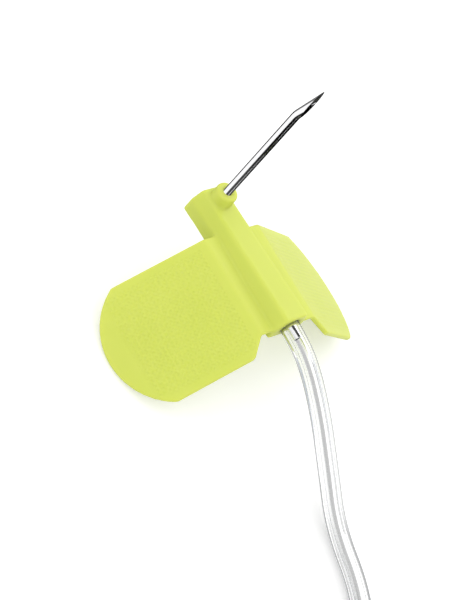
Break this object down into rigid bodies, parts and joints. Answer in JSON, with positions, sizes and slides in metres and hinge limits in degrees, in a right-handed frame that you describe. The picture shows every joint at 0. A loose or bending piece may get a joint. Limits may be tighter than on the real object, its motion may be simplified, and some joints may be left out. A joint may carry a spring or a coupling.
{
  "type": "huber needle",
  "caption": "Right-angle port needle in a lime hub with folding wings, on a clear extension tube that ends in a pinch clamp and a female luer lock.",
  "frame": {"origin": "under the middle of the winged hub, on the surface that its folded wings stand on", "axes": "+Z along the needle shaft towards its point, +X towards the tube's end of the hub, +Y across the wings"},
  "size_m": [0.0744, 0.056, 0.0282],
  "materials": {
    "hub_plastic": "satin, slightly translucent",
    "needle_steel": "polished",
    "clear_tube": "clear",
    "clamp_plastic": "satin",
    "luer_plastic": "frosted clear"
  },
  "bodies": {
    "root": {"winged_hub": "hub_plastic", "cannula": "needle_steel", "tube_lead": "clear_tube", "tube_coil": "clear_tube", "tube_tail": "clear_tube", "pinch_clamp": "clamp_plastic", "luer_lock": "luer_plastic"}
  },
  "joints": []
}
